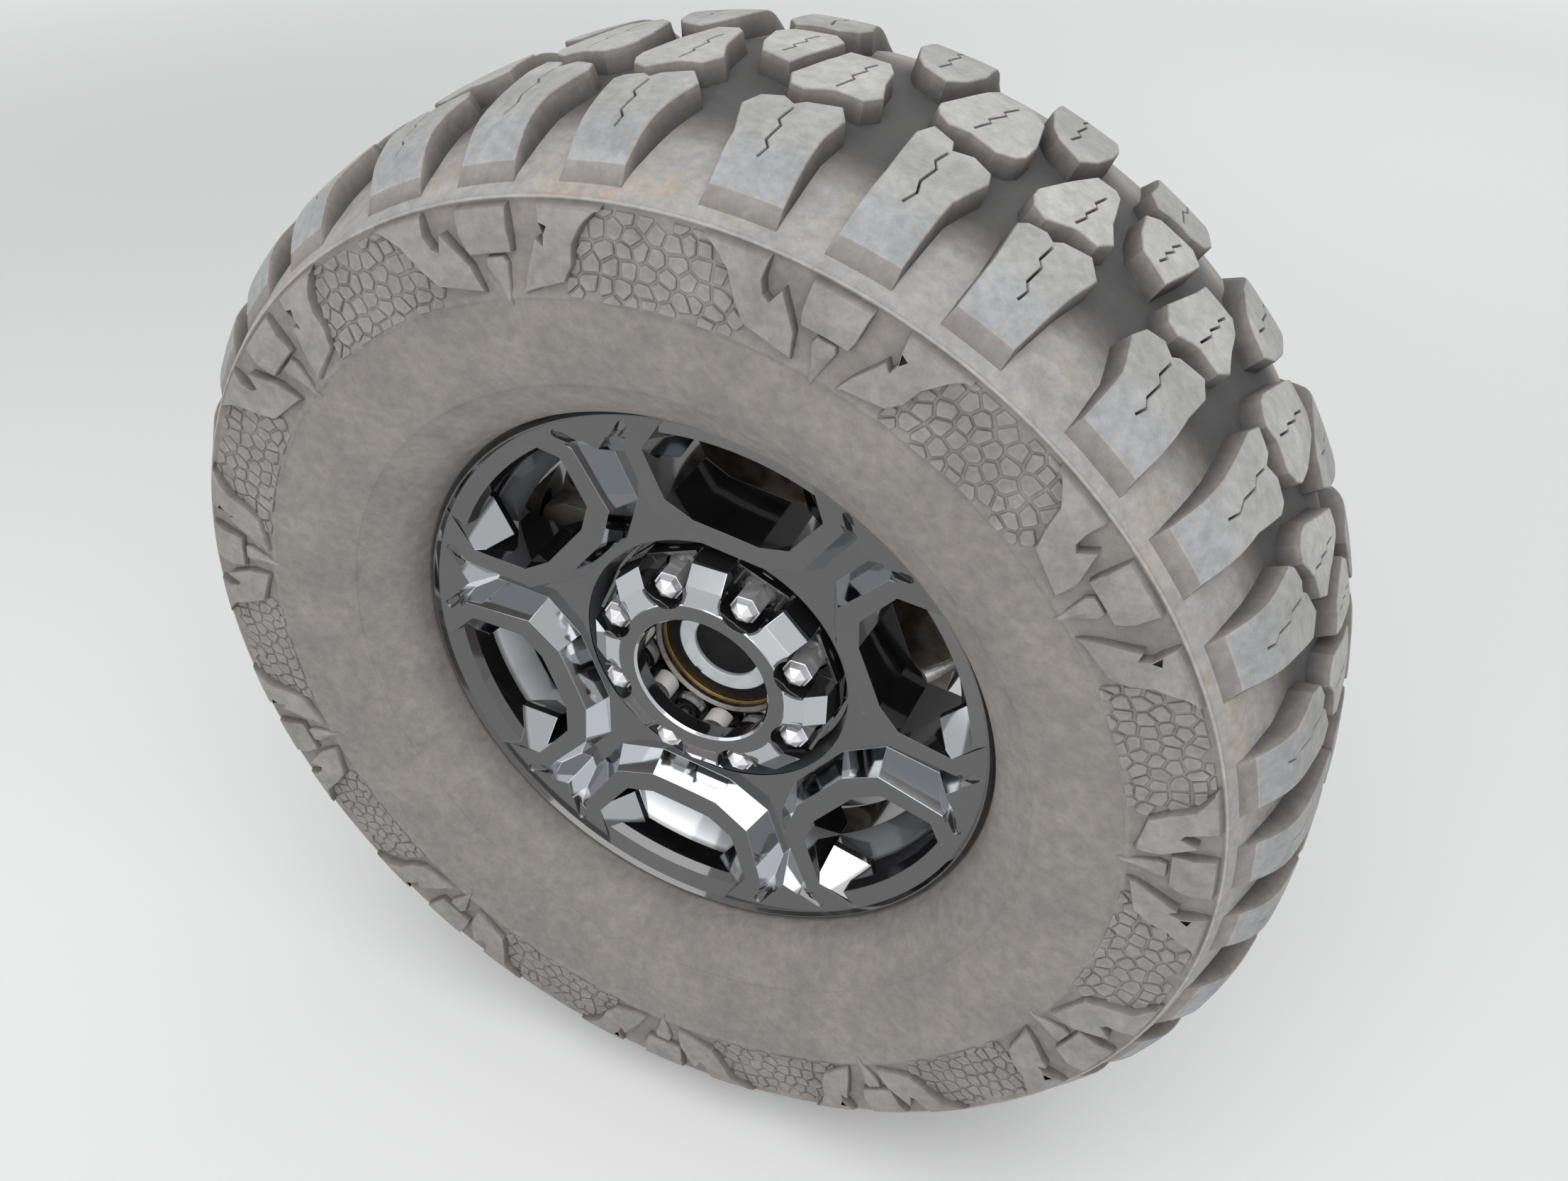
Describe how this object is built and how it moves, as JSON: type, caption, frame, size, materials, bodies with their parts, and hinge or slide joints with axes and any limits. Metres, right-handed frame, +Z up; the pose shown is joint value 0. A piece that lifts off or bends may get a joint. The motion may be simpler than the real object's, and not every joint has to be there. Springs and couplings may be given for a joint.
{
  "type": "off-road front wheel end",
  "caption": "Lugged off-road tyre on a gloss alloy wheel, with its hub, disc brake, steering knuckle and axle end, which spins and steers.",
  "frame": {"origin": "centre of the axle tube at its inboard end, on the wheel axle line", "axes": "+Y inboard along the axle, +X to the front of the vehicle, +Z up"},
  "size_m": [0.9422, 0.5543, 0.9408],
  "materials": {
    "tyre_rubber": "dusty moulded rubber",
    "gloss_black": "gloss black paint",
    "spring_steel": "bright spring steel",
    "valve_metal": "satin grey metal",
    "machined_steel": "oiled machined steel",
    "brake_iron": "machined iron with light rust",
    "lock_black": "matt black",
    "dial_plastic": "pale satin plastic",
    "gold_zinc": "gold passivated",
    "axle_paint": "satin black axle paint",
    "shaft_steel": "turned steel with a brown film",
    "joint_black": "black phosphate",
    "cast_steel": "raw cast surface, light rust",
    "shield_steel": "black coated sheet",
    "caliper_iron": "grey cast iron",
    "pad_backing": "black backing plate",
    "nut_chrome": "polished chrome"
  },
  "bodies": {
    "axle": {"axle_tube": "axle_paint", "inner_yoke": "axle_paint", "axle_shaft": "shaft_steel", "joint_cross": "shaft_steel"},
    "knuckle": {"knuckle": "cast_steel", "upper_ball_joint": "joint_black", "lower_ball_joint": "joint_black", "bearing_unit": "machined_steel", "dust_shield": "shield_steel", "caliper_bracket": "cast_steel", "caliper": "caliper_iron", "brake_pads": "pad_backing", "stub_shaft": "shaft_steel"},
    "wheel": {"tyre": "tyre_rubber", "rim": "gloss_black", "centre_cap": "gloss_black", "cap_clips": "spring_steel", "valve_stem": "valve_metal", "hub": "machined_steel", "brake_disc": "brake_iron", "locking_hub": "lock_black", "lock_dial": "dial_plastic", "retaining_ring": "gold_zinc", "lug_nut_1": "nut_chrome", "lug_nut_2": "nut_chrome", "lug_nut_3": "nut_chrome", "lug_nut_4": "nut_chrome", "lug_nut_5": "nut_chrome", "lug_nut_6": "nut_chrome", "lug_nut_7": "nut_chrome", "lug_nut_8": "nut_chrome"}
  },
  "joints": [
    {"name": "steer", "type": "hinge", "parent": "axle", "child": "knuckle", "pos_m": [0, -0.2, 0], "axis": [0, 0, 1], "range_deg": [-35, 35]},
    {"name": "wheel_spin", "type": "hinge", "parent": "knuckle", "child": "wheel", "pos_m": [0, -0.347, 0], "axis": [0, 1, 0], "continuous": true}
  ]
}
